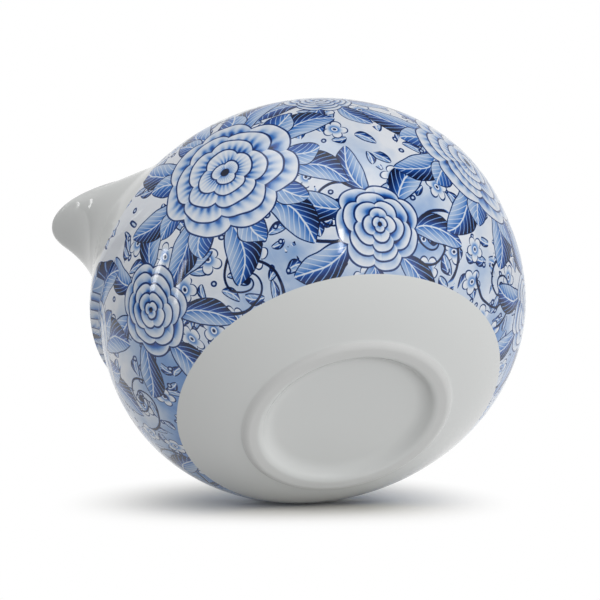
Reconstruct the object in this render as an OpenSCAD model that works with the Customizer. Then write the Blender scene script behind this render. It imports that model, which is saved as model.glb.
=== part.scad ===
// Handleless globe teapot in glazed porcelain. Units are millimetres.
// The pot stands on its foot ring: Z is up, the axis of the pot is the Z axis, the beak points to +X.

/* [Body] */
// radius of the belly at its widest
belly_r = 50; // [47:0.5:53]
// thickness of the porcelain wall
wall = 3; // [2.6:0.1:3.4]
// thickness of the floor over the recessed base
floor_t = 3; // [2.6:0.1:4]

/* [Foot] */
// radius of the crease where the foot ring meets the belly
foot_r = 23.6; // [22:0.2:25]
// height of the foot ring outside, from the table to the crease
foot_rise = 1; // [0.8:0.1:1.6]
// width of the foot ring from that crease to the inner edge of the line it stands on
foot_w = 2.1; // [1.9:0.1:2.6]
// depth of the recess inside the foot ring
recess_d = 1.4; // [1.2:0.1:2]
// steepest slope of the wall of that recess, in degrees
recess_slope = 42; // [38:1:50]

/* [Mouth] */
// outer radius of the low collar round the mouth
collar_r = 33.4; // [32.4:0.2:34.4]
// thickness of the collar
collar_w = 2.8; // [2.4:0.1:3.2]
// height of the collar over the shoulder
collar_rise = 2.7; // [2.4:0.1:3.2]
// width of the ledge that carries the lid
ledge_w = 2.6; // [2.2:0.1:3]
// thickness of that ledge
ledge_t = 2.5; // [2.2:0.1:3]

/* [Beak] */
// distance from the pot's axis to the tip of the beak
beak_reach = 56.8; // [55:0.2:59]
// half the width of the beak where its lips leave the shoulder
beak_lip_half = 15.6; // [14.6:0.2:17]
// offset of the channel from the outside of the beak, measured level
beak_wall = 2.3; // [2:0.1:2.8]
// rounding of the pouring lip
lip_r = 1.1; // [0.8:0.1:1.3]

/* [Strainer] */
// half the angle that the strainer takes up round the pot
screen_half = 21; // [18:0.5:22]
// radius of a strainer hole
hole_r = 1.1; // [0.8:0.05:1.25]
// holes in the lower row; the upper row has one less
hole_n = 8; // [6:1:8]
// joint left for the slip where the strainer and the beak are luted to the pot
luting = 0.2; // [0.15:0.05:0.35]

/* [Lid] */
// gap round the lid in its seat
lid_gap = 0.6; // [0.4:0.1:0.9]
// gap round the locating flange in the mouth
flange_gap = 0.6; // [0.4:0.1:0.9]
// depth of the locating flange under the ledge
flange_d = 5; // [4:0.5:7]
// thickness of the flange
flange_t = 2.4; // [2:0.1:2.8]
// rise of the dome over the rim of the lid
dome_rise = 7; // [6:0.5:9]
// thickness of the dome
dome_t = 2.8; // [2.4:0.1:3.2]
// radius of the steam vent
vent_r = 1.2; // [1:0.1:1.6]

/* [Knob] */
// radius of the knob at its widest
knob_r = 8.6; // [8:0.2:10]
// height of the knob over its boss
knob_h = 12; // [11:0.5:14]
// radius of the spigot that locates the knob
spigot_r = 2.5; // [2.2:0.1:2.8]
// radial gap between the spigot and its socket
spigot_gap = 0.1; // [0.08:0.01:0.15]

/* [Hidden] */
$fn = 96;
glaze = [0.95, 0.96, 0.97];

// belly: two arcs on a short upright band, with a cone from the lower arc to the foot
up_r = 0.6223 * belly_r;
up_band = 0.067 * belly_r;
lo_r = 0.6893 * belly_r;
lo_band = 0.0642 * belly_r;
cone_a = 69.12;
cone_x = belly_r - lo_r + lo_r * cos(cone_a);
cone_z = foot_rise + (cone_x - foot_r) / tan(cone_a);
belly_h = cone_z + lo_r * sin(cone_a) + lo_band;
up_c = [belly_r - up_r, belly_h + up_band];
lo_c = [belly_r - lo_r, belly_h - lo_band];

function shoulder_z(r) = up_c[1] + sqrt(up_r * up_r - pow(r - up_c[0], 2));

// foot: the wall of the recess is a cove that turns over into the domed ring, two equal arcs
edge_round = 0.8;
flat_in = foot_r - foot_w;
flat_out = foot_r - edge_round - 0.3;
turn_r = recess_d / 2 / (1 - cos(recess_slope));
cove_x = flat_in - 2 * turn_r * sin(recess_slope);

// mouth
rim_h = shoulder_z(collar_r);
collar_top = rim_h + collar_rise;
seat_r = collar_r - collar_w;
seat_h = rim_h + 0.4;
mouth_r = seat_r - ledge_w;
floor_h = recess_d + floor_t;

// beak
beak_c = 0.5 * belly_r;
keel_r = 0.975 * belly_r;
root_half = 0.616 * belly_r;
root_h = belly_h + 0.224 * belly_r;
lip_h = rim_h + 0.8;
lip_z = lip_h - lip_r;
keel_pow = 4.7;
side_pow = 2.7;
chan_shift = 1;
ring_front = [for (i = [0 : 34]) -102 + i * 6];
ring_back = [for (i = [1 : 5]) 102 + i * 26];
ring = concat(ring_front, ring_back);

function rise(z) = max(0, (z - root_h) / (lip_z - root_h));
function keel(z) = keel_r + (beak_reach - keel_r) * pow(rise(z), keel_pow);
function side(z) = root_half - (root_half - beak_lip_half) * pow(rise(z), side_pow);
function section(l, w, z) = [for (a = ring) [beak_c + l * cos(a), w * sin(a), z]];

// strainer: a band of the wall below the collar, with two rows of holes square to the wall
screen_lo = rim_h - 0.2 * belly_r;
screen_hi = rim_h - 0.052 * belly_r;
web = 0.6 * hole_r;
in_r = up_r - wall + luting;
edge_a = asin((hole_r + web) / in_r);
row_lo = asin((screen_lo - up_c[1]) / in_r) + edge_a;
row_hi = asin((screen_hi - luting - up_c[1]) / (up_r - luting)) - edge_a;
row_a = [row_lo, row_hi];
side_a = asin((hole_r + web) / collar_r);

// lid
lid_r = seat_r - lid_gap;
flange_r = mouth_r - flange_gap;
edge_r = 1.1;
lid_edge_z = seat_h + 2 * edge_r;
dome_top = lid_edge_z + dome_rise;
dome_x = lid_r - edge_r;
dome_r = (dome_x * dome_x + dome_rise * dome_rise) / (2 * dome_rise);
boss_r = 6.2;
boss_h = dome_top + 0.5;
socket_d = 2.2;
vent_x = 17;

module box2(x0, x1, z0, z1) {
    translate([x0, z0]) square([x1 - x0, z1 - z0]);
}

// half section of the belly, its curves moved in by off
module belly_2d(off) {
    intersection() {
        union() {
            translate(up_c) circle(r = up_r - off);
            box2(0, up_c[0], up_c[1] - 1, up_c[1] + up_r - off);
        }
        box2(0, belly_r, up_c[1] - 1, up_c[1] + up_r);
    }
    box2(0, belly_r - off, lo_c[1], up_c[1]);
    intersection() {
        union() {
            translate(lo_c) circle(r = lo_r - off);
            box2(0, lo_c[0], lo_c[1] - lo_r + off, lo_c[1] + 1);
        }
        box2(0, belly_r, cone_z, lo_c[1] + 1);
    }
}

// low domed foot ring, with the recess left to be cut
module foot_2d() {
    up = cone_z + 0.3 * foot_rise;
    polygon([[0, up], [cone_x, up], [cone_x, cone_z], [foot_r, foot_rise],
        [foot_r - 0.2, edge_round], [0, edge_round]]);
    translate([flat_out, edge_round]) circle(r = edge_round);
    box2(0, flat_out, 0, edge_round + 0.15);
}

module recess_2d() {
    difference() {
        union() {
            box2(0, flat_in, -1, recess_d / 2);
            box2(0, cove_x + 0.1, -1, recess_d);
            intersection() {
                translate([cove_x, recess_d - turn_r]) circle(r = turn_r);
                box2(cove_x, flat_in, recess_d / 2 - 0.1, recess_d);
            }
        }
        translate([flat_in, turn_r]) circle(r = turn_r);
    }
}

// upright collar with a round bead on top
module collar_2d() {
    bead = collar_w / 2;
    box2(seat_r, collar_r, rim_h - 3, collar_top - bead);
    translate([collar_r - bead, collar_top - bead]) circle(r = bead);
}

module cavity_2d() {
    intersection() {
        belly_2d(wall);
        box2(0, belly_r, floor_h, seat_h - ledge_t);
    }
    box2(0, mouth_r, seat_h - ledge_t - 1, seat_h + 1);
    box2(0, seat_r, seat_h, collar_top + 6);
}

// rings of points joined into a closed solid, lowest ring first
module loft(rings) {
    n = len(rings[0]);
    m = len(rings);
    polyhedron(
        points = [for (r = rings) for (p = r) p],
        faces = concat(
            [[for (j = [0 : n - 1]) j]],
            [for (i = [0 : m - 2]) for (j = [0 : n - 1])
                [i * n + j, (i + 1) * n + (j + 1) % n, i * n + (j + 1) % n]],
            [for (i = [0 : m - 2]) for (j = [0 : n - 1])
                [i * n + j, (i + 1) * n + j, (i + 1) * n + (j + 1) % n]],
            [[for (j = [n - 1 : -1 : 0]) (m - 1) * n + j]]));
}

// outside of the beak: an upright keel that flares to the tip, sides that lean in like the shoulder
module beak_outside() {
    loft(concat(
        [for (i = [0 : 11]) let (z = root_h + (lip_z - root_h) * pow(i / 11, 0.7))
            section(keel(z) - beak_c, side(z), z)],
        [for (a = [30, 60, 90]) let (b = lip_r * (1 - cos(a)))
            section(beak_reach - beak_c - b, beak_lip_half - b, lip_z + lip_r * sin(a))]));
}

// pouring channel: the same curves moved in, rounded out again under the lip
module beak_channel() {
    z0 = root_h + 6;
    l = keel(lip_z - chan_shift) - beak_c - beak_wall;
    w = side(lip_z + chan_shift) - beak_wall;
    loft(concat(
        [for (i = [0 : 8]) let (z = z0 + (lip_z - z0) * pow(i / 8, 0.8))
            section(keel(z - chan_shift) - beak_c - beak_wall, side(z + chan_shift) - beak_wall, z)],
        [for (a = [30, 60, 90]) let (b = lip_r * (1 - cos(a)))
            section(l + b, w + b, lip_z + lip_r * sin(a))],
        [section(l + lip_r, w + lip_r, lip_h + 2)]));
}

module window(half, lo, hi, grow) {
    rotate([0, 0, -half])
        rotate_extrude(angle = 2 * half)
            intersection() {
                difference() {
                    belly_2d(-grow);
                    box2(0, 0.6 * belly_r, 0, 200);
                }
                box2(0.6 * belly_r, belly_r, lo, hi);
            }
}

module pot_body() {
    color(glaze)
    difference() {
        union() {
            rotate_extrude() belly_2d(0);
            rotate_extrude() foot_2d();
            rotate_extrude() collar_2d();
        }
        rotate_extrude() cavity_2d();
        rotate_extrude() recess_2d();
        window(screen_half, screen_lo, screen_hi, 0.3);
    }
}

// cast by itself and luted over the strainer: the outside less the channel, trimmed to sit on the shoulder
module pouring_beak() {
    color(glaze)
    difference() {
        beak_outside();
        beak_channel();
        rotate_extrude() {
            belly_2d(-luting);
            box2(0, collar_r + luting, root_h, collar_top + 2);
        }
    }
}

module spout_strainer() {
    half = screen_half - asin(luting / collar_r);
    step = 2 * (half - side_a) / (hole_n - 1);
    color(glaze)
    difference() {
        rotate([0, 0, -half])
            rotate_extrude(angle = 2 * half)
                intersection() {
                    difference() {
                        belly_2d(luting);
                        belly_2d(wall - luting);
                    }
                    box2(0.6 * belly_r, belly_r, screen_lo, screen_hi - luting);
                }
        for (k = [0, 1]) for (i = [0 : hole_n - 1 - k])
            rotate([0, 0, (i - (hole_n - 1 - k) / 2) * step])
                translate([up_c[0], 0, up_c[1]])
                    rotate([0, 90 - row_a[k], 0])
                        translate([0, 0, up_r - 2 * wall])
                            cylinder(r = hole_r, h = 3 * wall, $fn = 24);
    }
}

module lid() {
    color(glaze)
    difference() {
        rotate_extrude() difference() {
            union() {
                intersection() {
                    translate([0, dome_top - dome_r]) circle(r = dome_r, $fn = 360);
                    box2(0, dome_x, seat_h, boss_h);
                }
                translate([dome_x, seat_h + edge_r]) circle(r = edge_r);
                box2(0, boss_r, dome_top - 3.6, boss_h - 0.4);
                box2(0, boss_r - 0.4, dome_top - 3.6, boss_h);
                translate([boss_r - 0.4, boss_h - 0.4]) circle(r = 0.4);
                box2(flange_r - flange_t, flange_r, seat_h - flange_d + 0.8, seat_h + 1);
                translate([flange_r - 0.8, seat_h - flange_d + 0.8]) circle(r = 0.8);
                translate([flange_r - flange_t + 0.8, seat_h - flange_d + 0.8]) circle(r = 0.8);
                box2(flange_r - flange_t + 0.8, flange_r - 0.8, seat_h - flange_d, seat_h);
            }
            difference() {
                intersection() {
                    translate([0, dome_top - dome_r]) circle(r = dome_r - dome_t, $fn = 360);
                    box2(0, flange_r - flange_t, seat_h - 1, dome_top);
                }
                box2(0, boss_r + 0.8, dome_top - 3.6, dome_top + 1);
            }
        }
        translate([0, 0, boss_h - socket_d]) cylinder(r = spigot_r + spigot_gap, h = 5);
        translate([-vent_x, 0, seat_h]) cylinder(r = vent_r, h = 20, $fn = 24);
    }
}

module lid_knob() {
    edge = 0.4 * knob_r;
    cap_r = 2 * knob_r;
    bulb_z = boss_h + knob_h - edge - 1;
    color(glaze)
    rotate_extrude() {
        box2(0, spigot_r, boss_h - socket_d + 0.3, boss_h + 1);
        // waisted stem
        difference() {
            box2(0, 5.6, boss_h, bulb_z);
            translate([7.2, boss_h + 2.9]) circle(r = 3);
        }
        // flattened bulb
        translate([knob_r - edge, bulb_z]) circle(r = edge);
        box2(0, knob_r - edge, bulb_z - edge, bulb_z + edge);
        intersection() {
            translate([0, boss_h + knob_h - cap_r]) circle(r = cap_r, $fn = 180);
            box2(0, knob_r - edge + 0.2, bulb_z, boss_h + knob_h);
        }
    }
}

pot_body();
pouring_beak();
spout_strainer();
lid();
lid_knob();
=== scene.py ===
"""Handleless porcelain teapot: belly, beak, strainer, lid and knob, glazed over a blue print."""

from __future__ import annotations

import logging
import math
from dataclasses import dataclass, field
from enum import Enum
from functools import partialmethod
from typing import Sequence

import bmesh
import bpy
import numpy as np
from mathutils import Matrix, Vector


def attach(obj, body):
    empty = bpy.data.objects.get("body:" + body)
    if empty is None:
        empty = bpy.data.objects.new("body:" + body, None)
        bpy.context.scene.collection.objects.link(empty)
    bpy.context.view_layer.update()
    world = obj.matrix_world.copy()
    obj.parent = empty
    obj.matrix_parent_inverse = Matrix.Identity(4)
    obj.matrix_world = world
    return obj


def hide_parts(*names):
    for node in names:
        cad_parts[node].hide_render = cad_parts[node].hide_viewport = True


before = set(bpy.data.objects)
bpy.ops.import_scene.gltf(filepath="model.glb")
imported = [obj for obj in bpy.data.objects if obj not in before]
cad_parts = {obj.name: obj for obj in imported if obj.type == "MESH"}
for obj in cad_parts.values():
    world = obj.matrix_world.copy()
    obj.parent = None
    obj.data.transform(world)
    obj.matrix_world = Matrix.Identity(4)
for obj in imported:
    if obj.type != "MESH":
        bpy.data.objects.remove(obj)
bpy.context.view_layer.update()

MM = 0.001
IMAGE_PX = 600
OFF_PRINT = -99.0  # wall length given to points that the print never reaches
WHITE = "#FFFFFF"
WELD = 2e-6  # metres within which points are one
NO_LENGTH = 1e-7  # metres under which an edge counts as none

logging.basicConfig(level=logging.INFO, format="%(name)s: %(message)s")
LOG = logging.getLogger("teapot")

Array = np.ndarray
Tree = bpy.types.NodeTree
Node = bpy.types.Node
Socket = bpy.types.NodeSocket
Material = bpy.types.Material
Colour = tuple[float, float, float, float]
Thing = bpy.types.Object
Draft = bmesh.types.BMesh


def linear(hex_colour: str) -> Colour:
    """Turns an sRGB hex colour into the linear RGBA that Blender's sockets take.

    Args:
        hex_colour: six hex digits with a leading #.

    Returns:
        The linear red, green, blue and an alpha of 1.
    """
    parts = [int(hex_colour[i : i + 2], 16) / 255 for i in (1, 3, 5)]
    lin = [c / 12.92 if c <= 0.04045 else ((c + 0.055) / 1.055) ** 2.4 for c in parts]
    return (lin[0], lin[1], lin[2], 1.0)


def add_node(
    tree: Tree,
    kind: str,
    inputs: dict[int | str, object] | None = None,
    **settings: object,
) -> Node:
    """Adds one node, with its settings, its constant inputs and its links.

    Args:
        tree: the node tree that gets the node.
        kind: Blender's name of the node type.
        inputs: input name or number to a constant, or to an output socket to link.
        settings: properties of the node itself.

    Returns:
        The new node.
    """
    node = tree.nodes.new(kind)
    for name, value in settings.items():
        setattr(node, name, value)
    for key, value in (inputs or {}).items():
        if isinstance(value, Socket):
            tree.links.new(value, node.inputs[key])
        else:
            node.inputs[key].default_value = value
    return node


def empty_tree(owner: Material | bpy.types.World) -> Tree:
    """Gives a material or a world nodes, and takes the ready-made ones away."""
    owner.use_nodes = True
    owner.node_tree.nodes.clear()
    return owner.node_tree


def link(name: str, data: bpy.types.ID) -> Thing:
    """Adds an object that shows data to the scene."""
    obj = bpy.data.objects.new(name, data)
    bpy.context.scene.collection.objects.link(obj)
    return obj


# ---------------------------------------------------------------- shapes


@dataclass(frozen=True)
class Profile:
    """Outer curve of the belly: superellipses up and down from its widest line. Millimetres."""

    belly_r: float = 50.0
    belly_h: float = 38.01
    up_b: float = 37.27
    up_n: float = 2.453
    lo_b: float = 39.94
    lo_n: float = 2.381

    def radius(self, z: Array) -> Array:
        """Radius of the belly at height z."""
        h = np.asarray(z, float) - self.belly_h
        b = np.where(h > 0, self.up_b, self.lo_b)
        n = np.where(h > 0, self.up_n, self.lo_n)
        t = np.clip(np.abs(h) / b, 0, 0.99999)
        return self.belly_r * (1 - t**n) ** (1 / n)

    def height(self, r: float) -> float:
        """Height over the table at which the shoulder has radius r."""
        t = r / self.belly_r
        return self.belly_h + self.up_b * (1 - t**self.up_n) ** (1 / self.up_n)

    def lower_height(self, r: float) -> float:
        """Height over the table at which the underside of the belly has radius r."""
        t = r / self.belly_r
        return self.belly_h - self.lo_b * (1 - t**self.lo_n) ** (1 / self.lo_n)

    def arc(self, z: Array) -> Array:
        """Length along the wall from the widest line to height z, below it negative."""
        low, high = self.belly_h - self.lo_b * 0.999, self.belly_h + self.up_b * 0.999
        grid = np.linspace(low, high, 4001)
        step = np.hypot(np.diff(grid), np.diff(self.radius(grid)))
        length = np.concatenate([[0.0], np.cumsum(step)])
        length -= np.interp(self.belly_h, grid, length)
        return np.interp(z, grid, length)


@dataclass(frozen=True)
class Beak:
    """Pouring beak as level sections, each half an ellipse about centre. Millimetres.

    From its root to its lip the keel runs out from keel_r to reach, and the half width closes in
    from root_half to lip_half; shift keeps the wall's thickness on the slope.
    """

    centre: float = 25.0
    root_z: float = 49.21
    lip_z: float = 68.58
    lip_r: float = 1.1
    keel_r: float = 48.75
    reach: float = 56.8
    root_half: float = 30.8
    lip_half: float = 15.6
    keel_pow: float = 4.7
    side_pow: float = 2.7
    wall: float = 2.3
    shift: float = 1.0

    def rise(self, z: Array) -> Array:
        """How far z is from the root of the beak to its lip, from 0 to 1 and beyond."""
        return np.maximum(0, (np.asarray(z, float) - self.root_z) / (self.lip_z - self.root_z))

    def keel(self, z: Array) -> Array:
        """Distance from the pot's axis to the keel at height z."""
        return self.keel_r + (self.reach - self.keel_r) * self.rise(z) ** self.keel_pow

    def side(self, z: Array) -> Array:
        """Half the width of the beak at height z."""
        return self.root_half - (self.root_half - self.lip_half) * self.rise(z) ** self.side_pow

    def polar(self, phi: Array, length: Array, half: Array) -> Array:
        """Distance from the axis to an ellipse about centre with the half axes length and half."""
        a = np.cos(phi) ** 2 / length**2 + np.sin(phi) ** 2 / half**2
        b = -2 * self.centre * np.cos(phi) / length**2
        c = self.centre**2 / length**2 - 1
        d = np.maximum(b * b - 4 * a * c, 0)
        return np.maximum((-b + np.sqrt(d)) / (2 * a), 1.0)

    def outside(self, phi: Array, z: Array) -> Array:
        """Outer face of the beak in direction phi at height z, rounded over at the lip."""
        over = np.clip((np.asarray(z, float) - self.lip_z) / self.lip_r, 0, 1)
        inset = self.lip_r * (1 - np.sqrt(1 - over**2))
        level = np.minimum(z, self.lip_z)
        return self.polar(phi, self.keel(level) - self.centre - inset, self.side(level) - inset)

    def channel(self, phi: Array, z: Array) -> Array:
        """Inner face of the beak in direction phi at height z, rounded out under the lip."""
        over = np.clip((np.asarray(z, float) - self.lip_z) / self.lip_r, 0, 1)
        outset = self.lip_r * (1 - np.sqrt(1 - over**2))
        level = np.minimum(z, self.lip_z)
        length = self.keel(level - self.shift) - self.centre - self.wall + outset
        half = self.side(level + self.shift) - self.wall + outset
        return self.polar(phi, length, half)

    @property
    def top(self) -> float:
        """Height of the top of the lip."""
        return self.lip_z + self.lip_r


def arc_points(
    centre: tuple[float, float], radius: float, start: float, end: float, count: int
) -> list[tuple[float, float]]:
    """Points on an arc, from start to end in degrees, as radius and height."""
    angles = np.radians(np.linspace(start, end, count))
    return [(centre[0] + radius * math.cos(a), centre[1] + radius * math.sin(a)) for a in angles]


def even_out(path: Sequence[tuple[float, float]], step: float) -> Array:
    """Adds points to a path so that none of its steps is longer than step."""
    out = [path[0]]
    for a, b in zip(path[:-1], path[1:]):
        n = max(1, math.ceil(math.dist(a, b) / step))
        run, rise = b[0] - a[0], b[1] - a[1]
        out += [(a[0] + run * k / n, a[1] + rise * k / n) for k in range(1, n + 1)]
    return np.array(out)


def smooth_max(a: Array, b: Array, blend: Array) -> Array:
    """The larger of a and b, rounded where they cross over about the length blend."""
    h = np.maximum(blend - np.abs(a - b), 0) / blend
    return np.maximum(a, b) + h * h * blend * 0.25


def turned_mesh(name: str, radii: Array, heights: Array, angles: Array, **marks: Array) -> Thing:
    """Makes a closed mesh from half sections that turn about the Z axis.

    The first and last rows are on the axis.

    Args:
        name: name of the object.
        radii: radius for each row and angle, in millimetres.
        heights: height for each row and angle, in millimetres.
        angles: the angles in radians, once round.
        marks: named values for each row and angle, kept on the mesh's points.

    Returns:
        The new object.
    """
    rows, cols = radii.shape
    xyz = np.stack([radii * np.cos(angles), radii * np.sin(angles), heights], -1) * MM
    verts = xyz.reshape(-1, 3)
    i, j = np.meshgrid(np.arange(rows - 1), np.arange(cols), indexing="ij")
    k = (j + 1) % cols
    quads = np.stack([i * cols + j, i * cols + k, (i + 1) * cols + k, (i + 1) * cols + j], -1)
    mesh = bpy.data.meshes.new(name)
    mesh.from_pydata(verts.tolist(), [], quads.reshape(-1, 4).tolist())
    for mark, values in marks.items():
        kept = mesh.attributes.new(mark, "FLOAT", "POINT")
        kept.data.foreach_set("value", values.astype(np.float32).ravel())
    obj = link(name, mesh)
    tidy_mesh(obj)
    return obj


def band(bm: Draft, rows: Sequence[Sequence[bmesh.types.BMVert]]) -> None:
    """Joins closed rows of the same number of points with quads."""
    for one, two in zip(rows[:-1], rows[1:]):
        for k in range(len(one)):
            m = (k + 1) % len(one)
            bm.faces.new((one[k], one[m], two[m], two[k]))


def put_down(name: str, bm: Draft) -> Thing:
    """Turns what was drawn in bm into an object of the scene."""
    mesh = bpy.data.meshes.new(name)
    bm.to_mesh(mesh)
    bm.free()
    return link(name, mesh)


def tidy_mesh(obj: Thing) -> None:
    """Welds points that coincide, turns the faces outward and shades them smooth."""
    bm = bmesh.new()
    bm.from_mesh(obj.data)
    bmesh.ops.remove_doubles(bm, verts=bm.verts, dist=WELD)
    bmesh.ops.dissolve_degenerate(bm, edges=bm.edges, dist=NO_LENGTH)
    bmesh.ops.recalc_face_normals(bm, faces=bm.faces)
    bm.to_mesh(obj.data)
    bm.free()
    smooth(obj)
    obj.data.update()


def smooth(obj: Thing) -> None:
    """Shades every face smooth."""
    obj.data.polygons.foreach_set("use_smooth", [True] * len(obj.data.polygons))


def cut(obj: Thing, tool: Thing) -> None:
    """Cuts a closed tool out of obj, for good, and removes the tool."""
    modifier = obj.modifiers.new("cut", "BOOLEAN")
    modifier.operation, modifier.solver, modifier.object = "DIFFERENCE", "EXACT", tool
    graph = bpy.context.evaluated_depsgraph_get()
    made = bpy.data.meshes.new_from_object(obj.evaluated_get(graph))
    obj.modifiers.clear()
    obj.data = made
    bpy.data.objects.remove(tool)


@dataclass
class PotBody:
    """The cast body: foot ring, belly, beak, collar, lid seat and inside. Millimetres and degrees.

    Attributes:
        ring_dome: radius with which the ring turns over outside ring_flat; ring_edge is that inside.
        recess_slope: steepest slope of the recess's wall, which flattens by recess_power.
        seat_round: roundings in the corner of the lid's seat and on its edge.
        window_drop: levels of the strainer's window under the shoulder's rim.
        beak_span: half angle in which the mesh is finer, by beak_step instead of back_step.
        root_blends: rounding between beak and belly at each of the root_levels.
        rows: numbers of rows under the widest line, up to the beak's root, and along the beak.
    """

    profile: Profile = field(default_factory=Profile)
    beak: Beak = field(default_factory=Beak)
    wall: float = 3.0
    foot_r: float = 23.6
    foot_rise: float = 0.98
    ring_flat: tuple[float, float] = (21.0, 22.4)
    ring_dome: float = 1.9
    ring_edge: float = 2.0
    crease: float = 1.1
    recess_d: float = 2.3
    recess_slope: float = 50.0
    recess_power: float = 2.9
    floor_t: float = 2.1
    collar_r: float = 33.4
    collar_w: float = 2.8
    collar_rise: float = 2.7
    ledge_w: float = 2.6
    ledge_t: float = 2.5
    seat_rise: float = 0.4
    seat_round: tuple[float, float] = (0.3, 0.4)
    window_half: float = 21.0
    window_drop: tuple[float, float] = (10.0, 2.6)
    window_in: float = 30.5
    window_past: float = 0.3
    beak_step: float = 0.5
    back_step: float = 1.5
    beak_span: float = 42.0
    beak_sector: float = 70.0
    root_drop: float = 8.0
    root_levels: tuple[float, ...] = (44.0, 52.0, 60.0, 68.0)
    root_blends: tuple[float, ...] = (9.0, 5.0, 1.6, 1.0)
    low_angle: float = 1.18
    rows: tuple[int, int, int] = (40, 12, 44)
    lip_degrees: tuple[float, ...] = (20.0, 40.0, 60.0, 75.0, 90.0)

    @property
    def rim_h(self) -> float:
        """Height at which the shoulder meets the collar."""
        return self.profile.height(self.collar_r)

    @property
    def seat_h(self) -> float:
        """Height of the ledge that carries the lid."""
        return self.rim_h + self.seat_rise

    def angles(self) -> Array:
        """Angles round the pot in radians, closer together at the beak."""
        front = np.arange(-self.beak_span, self.beak_span, self.beak_step)
        back = np.arange(self.beak_span, 360 - self.beak_span - 1e-6, self.back_step)
        return np.radians(np.concatenate([front, back]))

    @property
    def floor_h(self) -> float:
        """Height of the floor inside the pot."""
        return self.recess_d + self.floor_t

    def under(self) -> Array:
        """Half section of the base: recess, its wall, domed foot ring and soft crease outside."""
        steep = math.radians(self.recess_slope)
        flat_in, flat_out = self.ring_flat
        lip = (flat_in - self.ring_edge * math.sin(steep), self.ring_edge * (1 - math.cos(steep)))
        deep = self.recess_d - lip[1]
        run = deep * self.recess_power / math.tan(steep)
        u = np.linspace(0, 1, 26)
        path = [(0.0, self.recess_d)]
        path += [(lip[0] - run * (1 - t), lip[1] + deep * (1 - t**self.recess_power)) for t in u]
        edge = (flat_in, self.ring_edge)
        path += arc_points(edge, self.ring_edge, 270 - self.recess_slope, 270, 7)[1:]
        dome = (flat_out, self.ring_dome)
        fillet, out_slope, belly_slope = self.crease_arc(dome)
        path += arc_points(dome, self.ring_dome, 270, 270 + out_slope, 14)
        path += arc_points(fillet, self.crease, 90 + out_slope, 90 + belly_slope, 9)[1:]
        return even_out(path, 1.2)

    def crease_arc(self, dome: tuple[float, float]) -> tuple[tuple[float, float], float, float]:
        """Finds the hollow arc that joins the domed ring to the belly.

        Args:
            dome: centre of the ring's outer arc.

        Returns:
            The arc's centre, and its slopes in degrees at the ring and at the belly.
        """
        r = np.linspace(self.foot_r - 1, self.foot_r + 2, 600)
        z = np.array([self.profile.lower_height(x) for x in r])
        slope = np.arctan(np.gradient(z, r))
        x, h = r + self.crease * np.sin(slope), z - self.crease * np.cos(slope)
        apart = np.hypot(x - dome[0], h - dome[1]) - (self.ring_dome + self.crease)
        k = int(np.argmin(np.abs(apart)))
        out_slope = 90 - math.degrees(math.atan2(dome[1] - h[k], x[k] - dome[0]))
        return (float(x[k]), float(h[k])), out_slope, math.degrees(slope[k])

    def inside(self) -> Array:
        """Half section from the collar over the seat, down the inside and to the axis."""
        bead = self.collar_w / 2
        top = self.rim_h + self.collar_rise
        seat_r = self.collar_r - self.collar_w
        mouth_r = seat_r - self.ledge_w
        under_ledge = self.seat_h - self.ledge_t
        path = arc_points((self.collar_r - bead, top - bead), bead, 0, 180, 13)
        cove, edge = self.seat_round
        path += [(seat_r, self.seat_h + cove)]
        path += arc_points((seat_r - cove, self.seat_h + cove), cove, 0, -90, 4)
        path += arc_points((mouth_r + edge, self.seat_h - edge), edge, 90, 180, 4)
        path += arc_points((mouth_r + edge, under_ledge + edge), edge, 180, 270, 4)
        path += [tuple(p) for p in self.inner_wall(under_ledge)]
        path += [(0.0, self.floor_h)]
        return even_out(path, 1.6)

    def inner_wall(self, top: float) -> Array:
        """Half section of the inside of the belly, the wall's thickness in from the outside."""
        p = self.profile
        t = np.linspace(-math.pi / 2 * 0.93, math.pi / 2 * 0.9, 90)  # all but the poles
        up = t > 0
        n = np.where(up, p.up_n, p.lo_n)
        r = p.belly_r * np.cos(t) ** (2 / n)
        z = p.belly_h + np.where(up, p.up_b, p.lo_b) * np.sign(t) * np.abs(np.sin(t)) ** (2 / n)
        dr, dz = np.gradient(r), np.gradient(z)
        size = np.hypot(dr, dz)
        r, z = r - self.wall * dz / size, z + self.wall * dr / size
        keep = (z > self.floor_h) & (z < top - 0.05)
        pts = np.stack([r, z], -1)[keep][::-1]
        ceiling = np.interp(top, z[np.argsort(z)], r[np.argsort(z)])
        floor = np.interp(self.floor_h, z[np.argsort(z)], r[np.argsort(z)])
        return np.concatenate([[[ceiling, top]], pts, [[floor, self.floor_h]]])

    def body_radius(self, z: Array) -> Array:
        """Outer radius without the beak: the belly, then the upright side of the collar."""
        return np.where(np.asarray(z) > self.rim_h, self.collar_r, self.profile.radius(z))

    def outer_rows(self) -> Array:
        """Heights of the rows of the outer wall, closer together near the beak's lip."""
        p, beak = self.profile, self.beak
        fall = np.sin(np.linspace(self.low_angle, 0, self.rows[0])) ** (2 / p.lo_n)
        low = p.belly_h - p.lo_b * fall
        low = low[low > self.foot_rise + self.crease / 2]
        mid = np.linspace(p.belly_h, beak.root_z, self.rows[1])[1:]
        high = np.linspace(beak.root_z, beak.lip_z, self.rows[2])[1:]
        over = beak.lip_z + beak.lip_r * np.sin(np.radians(self.lip_degrees))
        return np.concatenate([low, mid, high, over])

    def junction(self, phi: Array) -> Array:
        """Height at which the channel's wall runs out on the shoulder, for each angle."""
        levels = np.linspace(self.beak.root_z + 4, self.beak.top, 500)
        found = np.full(phi.shape, self.beak.top)
        for z in levels[::-1]:
            open_here = self.beak.channel(phi, np.full(phi.shape, z)) > self.body_radius(z) + 0.02
            # goes down by one level at a time, as long as the channel is open
            lowest = np.abs(found - z) < (levels[1] - levels[0]) * 1.5
            found = np.where(open_here & lowest, z, found)
        return found

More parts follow.
